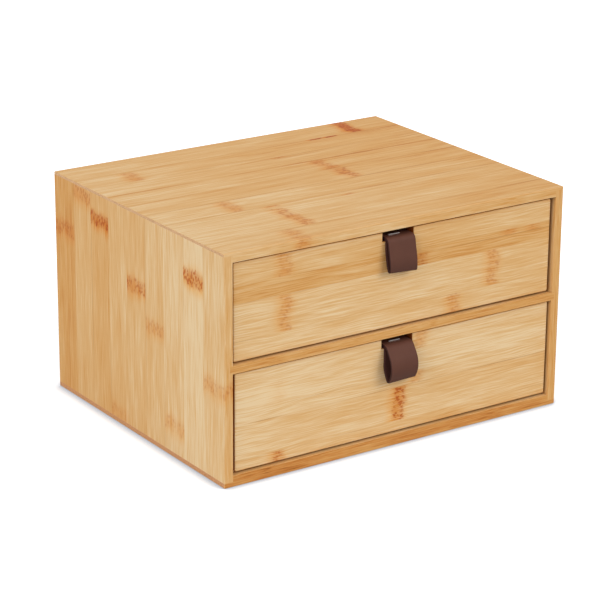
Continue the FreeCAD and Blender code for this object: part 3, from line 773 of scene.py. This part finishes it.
def walk_strap(level):
    """The strap's middle surface, from its upper end out of the notch, round the crease and back in."""
    bend, leave, hanging, belly, tuck, lean, rest = PULLS[level]
    leave, tuck, lean = (math.radians(angle) for angle in (leave, tuck, lean))
    low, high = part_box(f"{level}_drawer_pull")
    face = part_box(f"{level}_drawer_front")[0].y
    half = STRAP_THICKNESS * MM / 2
    notch_floor = high.z - (2 * STRAP_THICKNESS + LAYER_GAP) * MM
    inside = high.y - face
    upper_layer = high.z - half
    arris = ARRIS_RADIUS * MM

    ribbon = Ribbon((low.x, high.y, upper_layer), (high.x, high.y, upper_layer))
    ribbon.straight(inside)
    ribbon.bend(bend * MM, math.pi / 2 - leave)
    ribbon.straight(hanging * MM)
    ribbon.bend(belly * MM, leave + tuck)
    ribbon.bend(CREASE_RADIUS * MM, math.pi - tuck - lean)
    off_face = face - half - ribbon.place().y
    ribbon.straight((off_face - rest * MM * (1 - math.cos(lean))) / math.sin(lean))
    ribbon.bend(rest * MM, lean)
    ribbon.straight(notch_floor - arris - ribbon.place().z)
    ribbon.bend(arris + half, -math.pi / 2)
    ribbon.straight(inside - arris)
    end = ribbon.place()
    print(f"{level} strap: {ribbon.length / MM:.1f} mm long, ends {(end.z - notch_floor) / MM:.2f} mm above "
          f"the notch's floor and {(end.y - high.y) / MM:.2f} mm from where it began")
    return ribbon


# %% [markdown]
# Imitation leather is a fabric with a coat of polyurethane, embossed with a fine grain while warm. The coat
# is a smooth, dull dark brown. The cut edge shows the darker core, and the back is matt. The coat is also
# made darker towards the loop's fold. That is painted shade, because the lower belly turns down, away from
# the light. It follows the piece and not the room, so each point of the strap carries a number of its own,
# hang, from 0 in the notch to 1 at the fold, and the material reads it.

# %% Strap materials
GRAIN_SIZE = 0.45
GRAIN_RELIEF = 0.03 * MM
GRAIN_STRENGTH = 0.5
CLOUD_SCALE = 0.12  # cloudy patches about 8 mm wide
PALE_CLOUD, DARK_CLOUD = 1.1, 0.9
STRAP_SHEEN = 0.15  # specular level: a dull coat
FOLD_SHADE = 0.72  # what is left of the colour at the fold: painted shade
FOLD_SHADE_FROM = 0.4  # how far down the hang the painted shade starts


def strap_material(name, hex_colour, roughness, relief):
    """Embossed polyurethane coat: a fine pebble grain that breaks up a soft sheen."""
    material, tree = new_material(name)
    place = add(tree, "VectorMath", {"operation": "SCALE"},
                {0: add(tree, "TexCoord").outputs["Object"], "Scale": 1 / MM})
    pebbles = add(tree, "TexVoronoi", {"feature": "SMOOTH_F1"}, {"Vector": place, "Scale": 1 / GRAIN_SIZE})
    cloud = add(tree, "TexNoise", None, {"Vector": place, "Scale": CLOUD_SCALE, "Detail": 2})
    shade = add(tree, "MapRange", None, {"Value": cloud, "To Min": DARK_CLOUD, "To Max": PALE_CLOUD})
    # painted shade: the coat darkens towards the fold, where the belly turns down away from the light
    hang = add(tree, "Attribute", {"attribute_name": "hang"}).outputs["Fac"]
    fold_shaded = add(tree, "MapRange", SMOOTH, {0: hang, "From Min": FOLD_SHADE_FROM, "To Min": 1,
                                             "To Max": FOLD_SHADE})
    shade = add(tree, "Math", {"operation": "MULTIPLY"}, {0: shade, 1: fold_shaded})
    varied = add(tree, "HueSaturation", None, {"Color": linear(hex_colour), "Value": shade})
    bump = add(tree, "Bump", None, {"Height": pebbles, "Distance": relief, "Strength": GRAIN_STRENGTH})
    leather = add(tree, "BsdfPrincipled", None, {"Base Color": varied, "Roughness": roughness,
                                                 "Specular IOR Level": STRAP_SHEEN, "Normal": bump})
    add(tree, "OutputMaterial", None, {"Surface": leather})
    return material


STRAP_FINISHES = (
    # in the order of the strap's material slots
    strap_material("imitation_leather_face", "#5A372B", 0.6, GRAIN_RELIEF),
    strap_material("imitation_leather_back", "#4A2A24", 0.8, GRAIN_RELIEF * 2),
    strap_material("imitation_leather_cut_edge", "#3E2624", 0.6, GRAIN_RELIEF / 2),
)
BACK_SLOT, EDGE_SLOT = 1, 2
print("strap finishes:", [finish.name for finish in STRAP_FINISHES])

# %% [markdown]
# No two loops hang quite alike. The walk gives each strap square to the front and in the middle of its
# place, and here it is put a little to one side, as it was stapled, and let hang a little askew: every point
# below the notch is moved up or down with its place across the strap, more so the lower it is.
#
# Solidify gives the ribbon its thickness to both sides and puts the back and the cut edges in material slots
# of their own. Bevel then takes the sharpness off the cut edges. A bent strap has no edges as sharp as
# those, so an angle limit is enough to find them.

# %% Build both pulls
EDGE_ROUND = 0.3
SHARP_EDGE = math.radians(50)
ASKEW = {"upper": 1.3, "lower": -0.6}  # how much lower the right edge hangs than the left
ASIDE = {"upper": 0.7, "lower": 0.3}  # how far to the right it was stapled
NOTCH_SHARE = 0.15  # the part of the strap's height that the notch and the bend take
ONE_PLACE = 0.001 * MM

for level in PULLS:
    ribbon = walk_strap(level)
    low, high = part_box(f"{level}_drawer_pull")
    hang = ribbon.bm.verts.layers.float.new("hang")
    for vert in ribbon.bm.verts:
        down = (high.z - vert.co.z) / (high.z - low.z)
        vert[hang] = max(0, (down - NOTCH_SHARE) / (1 - NOTCH_SHARE))
        rightwards = (vert.co.x - (low.x + high.x) / 2) / (high.x - low.x)
        vert.co.z -= ASKEW[level] * MM * rightwards * vert[hang]
        vert.co.x += ASIDE[level] * MM
    bmesh.ops.remove_doubles(ribbon.bm, verts=ribbon.bm.verts, dist=ONE_PLACE)
    bmesh.ops.recalc_face_normals(ribbon.bm, faces=ribbon.bm.faces)
    mesh = bpy.data.meshes.new(f"{level}_strap")
    ribbon.bm.to_mesh(mesh)
    ribbon.bm.free()
    mesh.shade_smooth()
    strap = bpy.data.objects.new(f"{level}_strap", mesh)
    scene.collection.objects.link(strap)
    for finish in STRAP_FINISHES:
        mesh.materials.append(finish)
    body = strap.modifiers.new("thickness", "SOLIDIFY")
    body.thickness = STRAP_THICKNESS * MM
    body.offset = 0
    body.material_offset = BACK_SLOT
    body.material_offset_rim = EDGE_SLOT
    eased = strap.modifiers.new("eased_edges", "BEVEL")
    eased.width = EDGE_ROUND * MM
    eased.segments = 3
    eased.limit_method = "ANGLE"
    eased.angle_limit = SHARP_EDGE
    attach(strap, f"{level}_drawer")
    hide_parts(f"{level}_drawer_pull")

# %% [markdown]
# Staples and nails are drawn steel wire, bright and a little scratched along its length. The solids already
# have the right shape, so they only get the metal.

# %% Steel wire
STEEL = "#E4E2E0"
DRAWN_LINE = (20, 0.15)  # length and width of the fine lines that the die leaves
STEEL_ROUGHNESS = (0.22, 0.45)


def drawn_steel():
    """Galvanised steel wire: a grey metal whose reflections are blurred by fine lines along it."""
    material, tree = new_material("drawn_steel_wire")
    length, width = DRAWN_LINE
    place = add(tree, "VectorMath", {"operation": "SCALE"},
                {0: add(tree, "TexCoord").outputs["Object"], "Scale": 1 / MM})
    lines = add(tree, "Mapping", {"vector_type": "POINT"},
                {"Vector": place, "Scale": (1 / length, 1 / width, 1 / width)})
    scratches = add(tree, "TexNoise", None, {"Vector": lines, "Scale": 1, "Detail": 2})
    roughness = add(tree, "MapRange", None, {"Value": scratches, "To Min": STEEL_ROUGHNESS[0],
                                             "To Max": STEEL_ROUGHNESS[1]})
    metal = add(tree, "BsdfPrincipled", None,
                {"Base Color": linear(STEEL), "Metallic": 1, "Roughness": roughness})
    add(tree, "OutputMaterial", None, {"Surface": metal})
    return material


steel = drawn_steel()
for level in PULLS:
    for node in (f"{level}_drawer_brads", f"{level}_pull_staple"):
        dress(node, steel)
print("steel parts:", 2 * len(PULLS))
